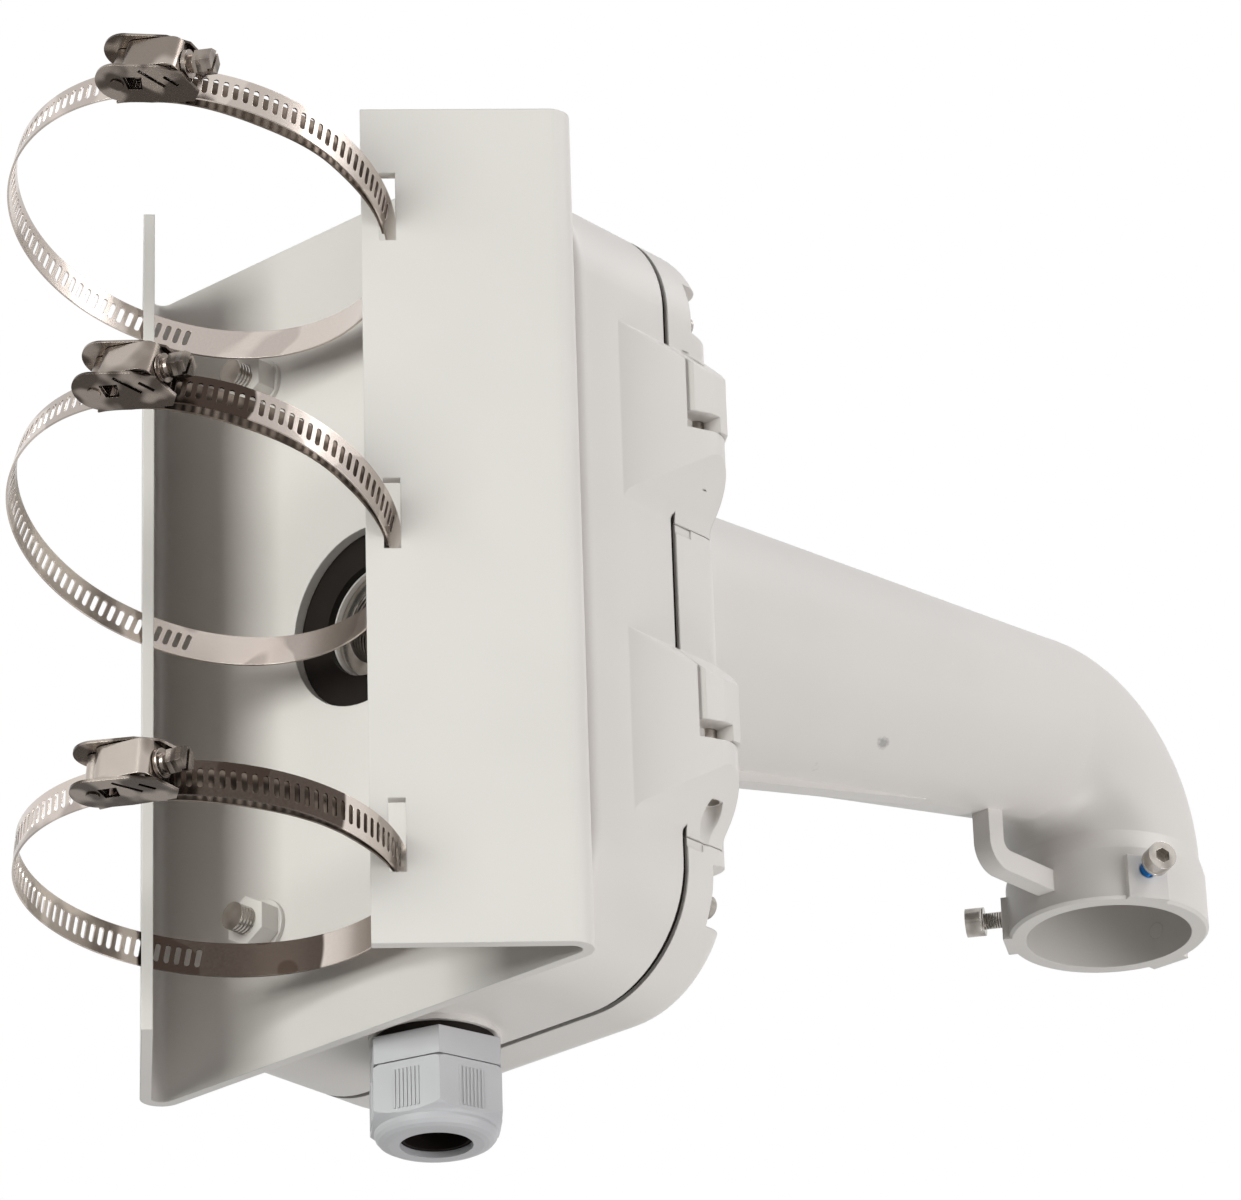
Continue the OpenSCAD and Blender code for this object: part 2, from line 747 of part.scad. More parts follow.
module gland_seal() {
    color(rubber) translate([gland_x, 0, 0]) difference() {
        translate([0, 0, nut_top - nut_h + 2.6]) cylinder(r = gland_bore_r + 1, h = nut_h - 1);
        translate([0, 0, nut_top - nut_h]) cylinder(r = gland_bore_r - 1.4, h = 2 * nut_h);
    }
}

// Hexagon nut whose corners end on a low dome, with a round lip under it and ribs on its flats
module gland_nut() {
    flat = nut_af / 2;
    ribs = 7;
    rib_pitch = 1.5;
    color(grey_plastic) translate([gland_x, 0, nut_top]) difference() {
        union() {
            intersection() {
                translate([0, 0, -nut_h]) rotate(gland_turn) hexagon(nut_af, nut_h);
                rotate_extrude() polygon([[0, 0], [flat + 2.4, 0], [flat + 3.4, -1], [flat + 3.4, -16.4],
                    [flat + 2.2, -17.4], [flat, -18.6], [flat - 0.9, -19.4], [flat - 0.8, -20.4],
                    [flat - 1.2, -21.6], [flat - 2.2, -22.8], [flat - 3.8, -nut_h + 0.4],
                    [flat - 5.6, -nut_h], [0, -nut_h]]);
            }
            for (a = [0 : 60 : 300]) rotate(gland_turn + a)
                for (k = [0 : ribs - 1])
                    translate([flat - 0.5, (k - (ribs - 1) / 2) * rib_pitch - 0.35, -17])
                        cube([0.85, 0.7, 14]);
        }
        translate([0, 0, -nut_h - 1]) cylinder(r = gland_bore_r, h = 2 * nut_h);
        translate([0, 0, -nut_h + 2.4]) cylinder(r = gland_bore_r + 1.2, h = 2 * nut_h);
        translate([0, 0, -10]) cylinder(r = gland_thread_r - 0.2, h = 2 * nut_h);
    }
}

// Moves a shape from a clamp's own frame, where the loop lies in XY
module at_loop(i) {
    translate(loop_centre(i)) rotate([0, loop_tilt[i], 0]) children();
}

// Moves a shape to the worm housing: X is outward, Y along the band, Z across it
module at_housing(i) {
    at_loop(i) rotate(housing_at[i]) translate([band_r(i), 0, 0]) children();
}

side_t = 1;
side_z = band_w / 2 + side_gap;
pivot_y = -housing_l / 2 + 7.5;
pivot_x = 6.6;
pivot_r = 1.6;
worm_r = 4.4;
worm_x = band_t / 2 + 0.3 + worm_r;
worm_l = 16;
neck_r = 2.4;
saddle_l = 21.5;
saddle_h = 10.5;
saddle_wall = 1.5;
saddle_y = pivot_y + 2;
saddle_top = housing_h - 3;
wall_y = saddle_y + saddle_l - saddle_wall;

// Turns a saddle's shape about its pivot, open by the angle at which it stands
module at_saddle(i) {
    at_housing(i) translate([pivot_x, pivot_y, 0]) rotate(-saddle_open)
        translate([-pivot_x, -pivot_y, 0]) children();
}

module band(i) {
    color(steel) at_loop(i) difference() {
        cylinder(r = band_r(i) + band_t / 2, h = band_w, center = true, $fn = 128);
        cylinder(r = band_r(i) - band_t / 2, h = 2 * band_w, center = true, $fn = 128);
    }
}

// Side plate, drawn with X outward and Y along the band: round end, pointed end, window, slots
module side_plate() {
    half = housing_l / 2;
    round_end = (housing_h + 1.8) / 2;
    mid = housing_h - round_end;
    difference() {
        union() {
            translate([mid, -half + round_end]) circle(round_end);
            polygon([[-1.8, -half + round_end], [housing_h, -half + round_end], [housing_h - 1, 6],
                     [housing_h - 4.5, half - 4], [2.5, half], [-1.8, half - 2.6], [-2.4, 0]]);
        }
        translate([pivot_x, pivot_y]) circle(pivot_r + 0.02);
        polygon([[4, -7], [10, -7.6], [10, -0.8], [4, -1.8]]);
        translate([9.2, 2.7]) rotate(-45) square([11, 1.5], center = true);
        translate([8, 9.3]) rotate(-45) square([6, 1.5], center = true);
    }
}

module housing(i) {
    floor_r = band_r(i) - band_t / 2 - seat_gap;
    color(steel) {
        at_housing(i) for (s = [-1, 1])
            translate([0, 0, s * (side_z + side_t / 2) - side_t / 2]) linear_extrude(side_t) side_plate();
        // curved floor under the band
        at_loop(i) rotate(housing_at[i]) intersection() {
            difference() {
                cylinder(r = floor_r, h = 2 * (side_z + side_t), center = true, $fn = 128);
                cylinder(r = floor_r - side_t, h = 4 * band_w, center = true, $fn = 128);
            }
            translate([band_r(i) - 10, -housing_l / 2 + 6, -band_w])
                cube([20, housing_l - 12, 2 * band_w]);
        }
    }
}

module pivot(i) {
    color(steel) at_housing(i) translate([pivot_x, pivot_y, 0]) {
        cylinder(r = pivot_r, h = 2 * (side_z + side_t), center = true, $fn = 24);
        for (s = [-1, 1]) translate([0, 0, s * (side_z + side_t + 0.3)])
            cylinder(r = pivot_r + 0.8, h = 0.6, center = true, $fn = 24);
    }
}

// Section of the saddle: a strap bent over the worm, round where it swings up from its pivot
module saddle_section() {
    round_out = 4;
    difference() {
        union() {
            translate([saddle_top - saddle_h, saddle_y]) square([saddle_h - round_out, saddle_l]);
            translate([saddle_top - saddle_h, saddle_y + round_out])
                square([saddle_h, saddle_l - 2 * round_out]);
            for (y = [saddle_y + round_out, saddle_y + saddle_l - round_out])
                translate([saddle_top - round_out, y]) circle(round_out);
        }
        translate([saddle_top - saddle_h - 1, saddle_y + saddle_wall])
            square([saddle_h + 1 - saddle_wall, saddle_l - 2 * saddle_wall]);
    }
}

module saddle(i) {
    inner = side_z - 0.3;
    color(steel) at_saddle(i) difference() {
        union() {
            translate([0, 0, -inner]) linear_extrude(2 * inner) saddle_section();
            translate([pivot_x, pivot_y, 0]) cylinder(r = 3, h = 2 * inner, center = true);
        }
        translate([worm_x, wall_y - 1, 0]) rotate([-90, 0, 0]) cylinder(r = neck_r + pin_clear, h = 5);
        translate([pivot_x, pivot_y, 0])
            cylinder(r = pivot_r + pin_clear, h = 3 * band_w, center = true, $fn = 24);
    }
}

module worm(i) {
    collar = wall_y + saddle_wall + 0.3;
    color(steel) at_saddle(i) translate([worm_x, 0, 0]) rotate([-90, 0, 0]) {
        translate([0, 0, wall_y - 0.3 - worm_l]) cylinder(r = worm_r, h = worm_l);
        translate([0, 0, wall_y - 1]) cylinder(r = neck_r, h = 4);
        translate([0, 0, collar]) cylinder(r = 5, h = 1.5);
        translate([0, 0, collar + 1]) cylinder(r = 3.2, h = 4);
        translate([0, 0, collar + 4]) difference() {
            hexagon(8, 6.5);
            translate([-0.7, -8, 4.9]) cube([1.4, 16, 2]);
        }
    }
}

pole_plate();
plate_bolts();
plate_nuts();
plate_washers();
rear_gasket();
box_body();
cable_hub();
hub_locknut();
cover_gasket();
box_cover();
cover_screw(0);  // cover_screw_1
cover_screw(1);  // cover_screw_2
cover_screw(2);  // cover_screw_3
cover_screw(3);  // cover_screw_4
hinge_pins();
arm();
root_seal();
root_bolts();
ground_screw();
lock_screw(0);  // lock_screw_1
lock_screw(1);  // lock_screw_2
lock_screw(2);  // lock_screw_3
gland_body();
gland_washer();
gland_locknut();
gland_seal();
gland_nut();
band(0);  // clamp_1_band
housing(0);  // clamp_1_housing
pivot(0);  // clamp_1_pivot
saddle(0);  // clamp_1_saddle
worm(0);  // clamp_1_worm
band(1);  // clamp_2_band
housing(1);  // clamp_2_housing
pivot(1);  // clamp_2_pivot
saddle(1);  // clamp_2_saddle
worm(1);  // clamp_2_worm
band(2);  // clamp_3_band
housing(2);  // clamp_3_housing
pivot(2);  // clamp_3_pivot
saddle(2);  // clamp_3_saddle
worm(2);  // clamp_3_worm
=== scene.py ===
import json
import logging
import math
from dataclasses import dataclass, field
from enum import Enum
from typing import Iterable, Optional, Sequence, Union

import bpy
from mathutils import Matrix, Vector

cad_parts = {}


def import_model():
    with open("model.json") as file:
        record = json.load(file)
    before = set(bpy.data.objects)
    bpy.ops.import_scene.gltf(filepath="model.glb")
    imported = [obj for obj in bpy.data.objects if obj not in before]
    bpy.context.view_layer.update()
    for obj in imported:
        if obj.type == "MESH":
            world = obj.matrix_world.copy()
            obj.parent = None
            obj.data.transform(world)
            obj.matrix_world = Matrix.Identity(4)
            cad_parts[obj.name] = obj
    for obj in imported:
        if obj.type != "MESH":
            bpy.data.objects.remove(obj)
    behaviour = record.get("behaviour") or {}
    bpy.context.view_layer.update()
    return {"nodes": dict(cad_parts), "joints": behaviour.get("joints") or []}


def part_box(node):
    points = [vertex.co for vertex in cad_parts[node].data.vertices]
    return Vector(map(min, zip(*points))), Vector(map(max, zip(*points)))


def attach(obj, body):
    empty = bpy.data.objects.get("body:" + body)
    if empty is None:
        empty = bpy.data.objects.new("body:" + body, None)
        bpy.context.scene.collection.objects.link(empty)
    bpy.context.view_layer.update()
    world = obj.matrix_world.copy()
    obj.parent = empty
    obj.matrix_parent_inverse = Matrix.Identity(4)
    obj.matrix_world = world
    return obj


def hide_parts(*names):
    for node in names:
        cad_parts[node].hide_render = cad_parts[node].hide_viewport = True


MM = 0.001
Point = tuple[float, float, float]
Value = Union[float, "Signal"]
log = logging.getLogger("pole_bracket")


def srgb(red: float, green: float, blue: float) -> tuple[float, float, float, float]:
    """Turns screen values from 0 to 255 into a linear colour.

    Args:
        red: Red on the screen.
        green: Green on the screen.
        blue: Blue on the screen.

    Returns:
        The linear colour with full alpha.
    """
    def linear(value: float) -> float:
        """Undoes the screen's curve for one channel."""
        share = value / 255.0
        return share / 12.92 if share <= 0.04045 else ((share + 0.055) / 1.055) ** 2.4

    return (linear(red), linear(green), linear(blue), 1.0)


class Signal:
    """One output of a shader graph, usable in plain arithmetic."""

    def __init__(self, graph: "Graph", socket: bpy.types.NodeSocket) -> None:
        """Keeps the graph and the socket together."""
        self.graph = graph
        self.socket = socket

    def _math(self, operation: str, first: Value, second: Value = 0.0) -> "Signal":
        """Adds one Math node.

        Args:
            operation: The node's operation.
            first: Its first value.
            second: Its second value.

        Returns:
            The result.
        """
        return self.graph.node("ShaderNodeMath", {"operation": operation}, {0: first, 1: second}).out()

    def __add__(self, other: Value) -> "Signal":
        """Adds."""
        return self._math("ADD", self, other)

    def __radd__(self, other: Value) -> "Signal":
        """Adds, the other way round."""
        return self._math("ADD", other, self)

    def __sub__(self, other: Value) -> "Signal":
        """Subtracts."""
        return self._math("SUBTRACT", self, other)

    def __rsub__(self, other: Value) -> "Signal":
        """Subtracts, the other way round."""
        return self._math("SUBTRACT", other, self)

    def __mul__(self, other: Value) -> "Signal":
        """Multiplies."""
        return self._math("MULTIPLY", self, other)

    def __rmul__(self, other: Value) -> "Signal":
        """Multiplies, the other way round."""
        return self._math("MULTIPLY", other, self)

    def __truediv__(self, other: Value) -> "Signal":
        """Divides."""
        return self._math("DIVIDE", self, other)

    def __pow__(self, other: Value) -> "Signal":
        """Raises to a power."""
        return self._math("POWER", self, other)

    def __abs__(self) -> "Signal":
        """Drops the sign."""
        return self._math("ABSOLUTE", self)

    def above(self, other: Value) -> "Signal":
        """Gives 1 where this is greater than the other."""
        return self._math("GREATER_THAN", self, other)

    def ramp(self, low: float, high: float) -> "Signal":
        """Rises smoothly from 0 at low to 1 at high.

        Args:
            low: Where the rise starts.
            high: Where it ends; it may lie below low.

        Returns:
            The smooth share.
        """
        settings = {"interpolation_type": "SMOOTHSTEP"}
        return self.graph.node("ShaderNodeMapRange", settings, {0: self, 1: low, 2: high}).out()


class Step:
    """One node of a shader graph."""

    def __init__(self, graph: "Graph", node: bpy.types.Node) -> None:
        """Keeps the graph and the node together."""
        self.graph = graph
        self.node = node

    def out(self, name: Union[int, str] = 0) -> Signal:
        """Gives one of the node's outputs by name or place."""
        return Signal(self.graph, self.node.outputs[name])


class Graph:
    """A material and the nodes that make it."""

    def __init__(self, name: str) -> None:
        """Starts an empty material.

        Args:
            name: The material's name.
        """
        self.material = bpy.data.materials.new(name)
        self.material.use_nodes = True
        self.tree = self.material.node_tree
        self.tree.nodes.clear()
        self.output = self.tree.nodes.new("ShaderNodeOutputMaterial")
        self._place: Optional[Signal] = None

    def node(self, kind: str, settings: dict = {}, values: dict = {}) -> Step:
        """Adds a node, sets it up and feeds its inputs.

        Args:
            kind: The node's type.
            settings: Attributes that are set first.
            values: Numbers, colours or signals, by input name or place.

        Returns:
            The new node.
        """
        node = self.tree.nodes.new(kind)
        for name, setting in settings.items():
            setattr(node, name, setting)
        for name, value in values.items():
            if isinstance(value, Signal):
                self.tree.links.new(value.socket, node.inputs[name])
            else:
                node.inputs[name].default_value = value
        return Step(self, node)

    def place(self) -> Signal:
        """Gives the point on the object, in metres, in the shared frame."""
        if self._place is None:
            self._place = self.node("ShaderNodeTexCoord").out("Object")
        return self._place

    def axes(self) -> tuple[Signal, Signal, Signal]:
        """Gives the point's three coordinates."""
        split = self.node("ShaderNodeSeparateXYZ", {}, {0: self.place()})
        return split.out("X"), split.out("Y"), split.out("Z")

    def stretched(self, scale: Point) -> Signal:
        """Gives the point with its axes stretched.

        Args:
            scale: The factor along each axis.

        Returns:
            The stretched point.
        """
        return self.node("ShaderNodeMapping", {}, {"Vector": self.place(), "Scale": scale}).out()

    def noise(self, size_mm: float, detail: float = 3.0, roughness: float = 0.5,
              at: Optional[Signal] = None) -> Signal:
        """Gives soft noise from 0 to 1.

        Args:
            size_mm: Size of its blotches.
            detail: Octaves.
            roughness: Strength of the finer octaves.
            at: Another point to read it at.

        Returns:
            The noise.
        """
        values = {"Vector": at or self.place(), "Scale": 1.0 / (size_mm * MM),
                  "Detail": detail, "Roughness": roughness}
        return self.node("ShaderNodeTexNoise", {}, values).out(0)

    def blend(self, share: Value, first: Union[tuple, Signal], second: Union[tuple, Signal]) -> Signal:
        """Mixes two colours.

        Args:
            share: 0 for the first, 1 for the second.
            first: The first colour.
            second: The second colour.

        Returns:
            The mixed colour.
        """
        settings = {"data_type": "RGBA"}
        return self.node("ShaderNodeMix", settings, {0: share, 6: first, 7: second}).out(2)

    def bump(self, height: Signal, depth_mm: float, strength: float = 1.0,
             under: Optional[Signal] = None) -> Signal:
        """Turns a height into a bent normal.

        Args:
            height: The height, about 0 to 1.
            depth_mm: How deep 1 is.
            strength: Share of the effect.
            under: A normal to start from.

        Returns:
            The normal.
        """
        values: dict = {"Height": height, "Distance": depth_mm * MM, "Strength": strength}
        if under is not None:
            values["Normal"] = under
        return self.node("ShaderNodeBump", {}, values).out()

    def soft_edges(self, radius_mm: float) -> Signal:
        """Gives a normal that rounds the object's sharp edges.

        Args:
            radius_mm: The rounding's radius.

        Returns:
            The normal.
        """
        return self.node("ShaderNodeBevel", {"samples": 6}, {"Radius": radius_mm * MM}).out()

    def along(self, direction: Point) -> Signal:
        """Gives the point's distance along a direction.

        Args:
            direction: The direction, of length 1.

        Returns:
            The distance in metres.
        """
        settings = {"operation": "DOT_PRODUCT"}
        return self.node("ShaderNodeVectorMath", settings, {0: self.place(), 1: direction}).out("Value")

    def finish(self, **sockets: Union[float, tuple, Signal]) -> bpy.types.Material:
        """Adds the surface shader and closes the graph.

        Args:
            **sockets: Its inputs, with underscores for spaces.

        Returns:
            The finished material.
        """
        values = {name.replace("_", " "): value for name, value in sockets.items()}
        shader = self.node("ShaderNodeBsdfPrincipled", {}, values)
        self.tree.links.new(shader.out().socket, self.output.inputs["Surface"])
        return self.material


@dataclass(frozen=True)
class DarkStrip:
    """A dark grey strip on a coated surface.

    Attributes:
        centre_mm: Its middle.
        reach_mm: Its half sizes along the three axes.
    """

    centre_mm: Point
    reach_mm: Point


@dataclass(frozen=True)
class PowderCoat:
    """Fine satin powder coat.

    Attributes:
        name: The material's name.
        colour: Its linear colour.
        grain_mm: Size of the orange peel.
        peel_mm: Depth of the orange peel.
        dark_strips: Dark grey strips on it.
    """

    name: str
    colour: tuple = srgb(222, 217, 213)
    grain_mm: float = 1.6
    peel_mm: float = 0.012
    dark_strips: tuple[DarkStrip, ...] = ()

    def make(self) -> bpy.types.Material:
        """Builds the material."""
        graph = Graph(self.name)
        cloud = graph.noise(60.0, 2.0)
        fine = graph.noise(0.5, 2.0)
        dull = tuple(channel * 0.955 for channel in self.colour[:3]) + (1.0,)
        colour = graph.blend(cloud.ramp(0.3, 0.75) * 0.7 + fine * 0.12, self.colour, dull)
        mark: Optional[Signal] = None
        for dark_strip in self.dark_strips:
            patch = self._patch(graph, dark_strip)
            mark = patch if mark is None else mark + patch
        roughness = 0.36 + graph.noise(9.0, 3.0) * 0.12
        if mark is not None:
            colour = graph.blend(mark * 0.62, colour, srgb(112, 112, 114))
            roughness = roughness + mark * 0.15
        peel = graph.noise(self.grain_mm, 2.0, 0.35)
        normal = graph.bump(peel, self.peel_mm, under=graph.soft_edges(0.7))
        return graph.finish(Base_Color=colour, Roughness=roughness, Normal=normal)

    def _patch(self, graph: Graph, dark_strip: DarkStrip) -> Signal:
        """Gives one dark strip's mask.

        Args:
            graph: The graph to add it to.
            dark_strip: The strip.

        Returns:
            The mask, 0 to 1.
        """
        total: Value = 0.0
        for axis, centre, reach in zip(graph.axes(), dark_strip.centre_mm, dark_strip.reach_mm):
            total = ((axis - centre * MM) / (reach * MM)) ** 2.0 + total
        ragged = graph.noise(2.2, 4.0, 0.7)
        return (total + ragged * 1.6).ramp(1.9, 0.9)


@dataclass(frozen=True)
class RolledSteel:
    """Bare metal with dark blotches, partly stains and partly painted dark reflections, and fine rolling or
    turning marks.

    Attributes:
        name: The material's name.
        colour: Its linear colour.
        gloss: Its lowest roughness.
        stain_and_dark_reflection: Its colour where it looks darkest, in stains and painted dark reflections.
        stain_and_reflection_share: Share of the dark blotches, stains and painted dark reflections, from 0 to 1.
        grain_mm: Size of its fine marks.
        edge_mm: Radius that its edges seem to have.
        blotch_mm: Size of the dark blotches.
        sharp: Noise values where a blotch starts and is full; a narrow pair gives the sharp edges of painted dark
            reflections.
        shade_spots: Middles and reaches of patches of painted shade, in mm.
    """

    name: str
    colour: tuple
    gloss: float
    stain_and_dark_reflection: tuple = srgb(120, 112, 104)
    stain_and_reflection_share: float = 0.5
    grain_mm: float = 0.8
    edge_mm: float = 0.2
    blotch_mm: float = 9.0
    sharp: tuple[float, float] = (0.42, 0.66)
    shade_spots: tuple[tuple[Point, float], ...] = ()

    def make(self) -> bpy.types.Material:
        """Builds the material."""
        graph = Graph(self.name)
        return self.close(graph, graph.soft_edges(self.edge_mm))

    def tint(self, graph: Graph, colour: Signal) -> Signal:
        """Lets a kind of steel change the colour.

        Args:
            graph: The material's graph.
            colour: The bare metal's colour.

        Returns:
            The colour to use.
        """
        return colour

    def close(self, graph: Graph, under: Signal) -> bpy.types.Material:
        """Adds colour, gloss and marks over a given normal.

        Args:
            graph: The material's graph.
            under: The normal under the marks.

        Returns:
            The material.
        """
        cloud = graph.noise(self.blotch_mm, 1.0)
        marks = graph.noise(self.grain_mm, 4.0, 0.6)
        # Dark blotches: partly stains, partly painted dark reflections on the polished steel.
        blotch = cloud.ramp(*self.sharp) * self.stain_and_reflection_share + marks * 0.12
        # Painted shade: each spot darkens the steel round a given point.
        for centre_mm, reach_mm in self.shade_spots:
            centre = tuple(value * MM for value in centre_mm)
            settings = {"operation": "DISTANCE"}
            gap = graph.node("ShaderNodeVectorMath", settings, {0: graph.place(), 1: centre}).out("Value")
            blotch = blotch + gap.ramp(reach_mm * MM, (reach_mm - 1.5) * MM) * 0.9
        colour = self.tint(graph, graph.blend(blotch, self.colour, self.stain_and_dark_reflection))
        roughness = self.gloss + marks * 0.12 + cloud * 0.08
        normal = graph.bump(marks, 0.006, under=under)
        return graph.finish(Base_Color=colour, Metallic=1.0, Roughness=roughness, Normal=normal)


@dataclass(frozen=True)
class ThreadedSteel(RolledSteel):
    """Bare metal with a screw thread's ridges.

    Attributes:
        axis: The screw's axis, of length 1.
        pitch_mm: Distance between the ridges.
        depth_mm: Their depth.
        sealed_mm: Ends of a blue sealing patch, along the axis.
        top_mm: Where the thread ends under the head, along the axis.
    """

    axis: Point = (1.0, 0.0, 0.0)
    pitch_mm: float = 1.5
    depth_mm: float = 0.45
    sealed_mm: Optional[tuple[float, float]] = None
    top_mm: Optional[float] = None

    def tint(self, graph: Graph, colour: Signal) -> Signal:
        """Adds the sealing patch.

        Args:
            graph: The material's graph.
            colour: The bare metal's colour.

        Returns:
            The colour to use.
        """
        if self.sealed_mm is None:
            return colour
        low, high = (end * MM for end in self.sealed_mm)
        run = graph.along(self.axis) + graph.noise(1.6, 3.0) * 0.001
        patch = run.ramp(low, low + 0.0002) * run.ramp(high + 0.0002, high)
        return graph.blend(patch, colour, srgb(20, 104, 172))

    def make(self) -> bpy.types.Material:
        """Builds the material."""
        graph = Graph(self.name)
        run = graph.along(self.axis)
        settings = {"operation": "PINGPONG"}
        ridge = graph.node("ShaderNodeMath", settings, {0: run / (self.pitch_mm * MM), 1: 0.5}).out() * 2.0
        if self.top_mm is not None:
            ridge = ridge * run.ramp(self.top_mm * MM, (self.top_mm - 0.3) * MM)
        return self.close(graph, graph.bump(ridge, self.depth_mm, under=graph.soft_edges(self.edge_mm)))


@dataclass(frozen=True)
class SoftRubber:
    """Matt black rubber with a little dust.

    Attributes:
        name: The material's name.
        colour: Its linear colour.
    """

    name: str
    colour: tuple = srgb(25, 19, 16)

    def make(self) -> bpy.types.Material:
        """Builds the material."""
        graph = Graph(self.name)
        dust = graph.noise(5.0, 4.0, 0.65).ramp(0.5, 0.85)
        colour = graph.blend(dust * 0.2, self.colour, srgb(66, 60, 55))
        normal = graph.bump(graph.noise(0.7, 3.0), 0.02)
        return graph.finish(Base_Color=colour, Roughness=0.62 + dust * 0.2, Normal=normal,
                            Specular_IOR_Level=0.15)


@dataclass(frozen=True)
class MouldedPlastic:
    """Fine matt moulded plastic.

    Attributes:
        name: The material's name.
        colour: Its linear colour.
    """

    name: str
    colour: tuple = srgb(190, 189, 192)

    def make(self) -> bpy.types.Material:
        """Builds the material."""
        graph = Graph(self.name)
        flow = graph.noise(22.0, 2.0)
        deep = tuple(channel * 0.9 for channel in self.colour[:3]) + (1.0,)
        colour = graph.blend(flow.ramp(0.3, 0.7) * 0.6, self.colour, deep)
        roughness = 0.4 + graph.noise(3.0, 3.0) * 0.12
        normal = graph.bump(graph.noise(0.4, 2.0), 0.006, under=graph.soft_edges(0.35))
        return graph.finish(Base_Color=colour, Roughness=roughness, Normal=normal)


class Finish(Enum):
    """The bracket's finishes."""

    COAT = PowderCoat("powder_coat")
    # Two dark grey strips on the arm's coat.
    ARM_COAT = PowderCoat("powder_coat_arm", dark_strips=(
        DarkStrip((231.0, -42.0, 9.0), (7.0, 30.0, 2.2)),
        DarkStrip((254.0, -41.0, 22.0), (5.0, 30.0, 2.0)),
    ))
    # Painted shade: the band's inner layer is a darker steel, standing in for the shade under the outer strip.
    INNER_PAINTED_SHADE = RolledSteel("stainless_inner_painted_shade", srgb(128, 116, 106), 0.2, srgb(66, 56, 49), 0.7)
    # Painted highlight: the saddle is a lighter copy of the clamp steel, standing in for its bright reflection.
    SADDLE_PAINTED_HIGHLIGHT = RolledSteel("stainless_saddle_painted_highlight", srgb(184, 174, 165), 0.14, srgb(96, 85, 77), 0.6,
                         blotch_mm=18.0, sharp=(0.44, 0.56))
    # Painted dark reflection: the housing's steel is a darker copy of the clamp steel, with sharp dark blotches.
    FORMED_PAINTED_DARK = RolledSteel("stainless_formed_painted_dark", srgb(152, 142, 134), 0.16, srgb(66, 58, 52), 0.85,
                         blotch_mm=11.0, sharp=(0.42, 0.56))
    PLATED = RolledSteel("plated_steel", srgb(190, 184, 177), 0.12, srgb(92, 84, 78), 0.6, 0.5,
                         blotch_mm=8.0, sharp=(0.4, 0.8))
    THREAD = ThreadedSteel("plated_thread", srgb(198, 192, 185), 0.12, srgb(92, 84, 78), 0.6, 0.5,
                           blotch_mm=8.0, sharp=(0.4, 0.8))
    BRASS = RolledSteel("brass", srgb(205, 175, 110), 0.25, srgb(150, 118, 66), 0.4, 0.5)
    RUBBER = SoftRubber("rubber")
    PLASTIC = MouldedPlastic("gland_plastic")


class Wardrobe:
    """Makes each finish once and hands it out."""

    def __init__(self) -> None:
        """Starts empty."""
        self.made: dict[str, bpy.types.Material] = {}

    def get(self, finish: Union[Finish, RolledSteel]) -> bpy.types.Material:
        """Gives a finish's material.

        Args:
            finish: The finish, or one made for a single piece.

        Returns:
            Its material, made on first use.
        """
        recipe = finish.value if isinstance(finish, Finish) else finish
        if recipe.name not in self.made:
            self.made[recipe.name] = recipe.make()
        return self.made[recipe.name]

    def dress(self, thing: bpy.types.Object, finish: Union[Finish, RolledSteel]) -> None:
        """Puts one finish on a whole object.

        Args:
            thing: The object.
            finish: The finish, or one made for a single piece.
        """
        material = self.get(finish)
        if not thing.material_slots:
            thing.data.materials.append(material)
        for slot in thing.material_slots:
            slot.material = material
        log.info("%s wears %s", thing.name, material.name)


class Bench:
    """Shared hand moves on meshes."""

    @staticmethod
    def clear() -> None:
        """Deselects everything."""
        bpy.ops.object.select_all(action="DESELECT")

    @staticmethod
    def pick(thing: bpy.types.Object) -> None:
        """Selects one object alone and makes it the active one.

        Args:
            thing: The object.
        """
        Bench.clear()
        thing.select_set(True)
        bpy.context.view_layer.objects.active = thing

    @staticmethod
    def apply(thing: bpy.types.Object, kind: str, **settings: Union[float, int, bool, str, tuple]) -> None:
        """Adds one modifier, sets it up and applies it.

        Args:
            thing: The object.
            kind: The modifier's type.
            **settings: Its attributes.
        """
        Bench.pick(thing)
        modifier = thing.modifiers.new(kind.lower(), kind)
        for name, setting in settings.items():
            setattr(modifier, name, setting)
        bpy.ops.object.modifier_apply(modifier=modifier.name)

    @staticmethod
    def join(first: bpy.types.Object, *others: bpy.types.Object) -> bpy.types.Object:
        """Joins objects into the first one.

        Args:
            first: The object that stays.
            *others: The objects that go into it.

        Returns:
            The joined object.
        """
        Bench.pick(first)
        for other in others:
            other.select_set(True)
        bpy.ops.object.join()
        return first

    @staticmethod
    def tidy(thing: bpy.types.Object) -> None:
        """Merges doubled points and turns all faces outward.

        Args:
            thing: The object.
        """
        Bench.pick(thing)
        bpy.ops.object.mode_set(mode="EDIT")
        bpy.ops.mesh.select_all(action="SELECT")
        bpy.ops.mesh.remove_doubles(threshold=0.00002)
        bpy.ops.mesh.normals_make_consistent(inside=False)
        bpy.ops.object.mode_set(mode="OBJECT")

    @staticmethod
    def smooth(thing: bpy.types.Object, degrees: float = 30.0) -> None:
        """Shades an object smooth, apart from its sharp edges.

        Args:
            thing: The object.
            degrees: Edges sharper than this stay sharp.
        """
        Bench.clear()
        thing.select_set(True)
        bpy.context.view_layer.objects.active = thing
        bpy.ops.object.shade_smooth_by_angle(angle=math.radians(degrees))
        thing.select_set(False)


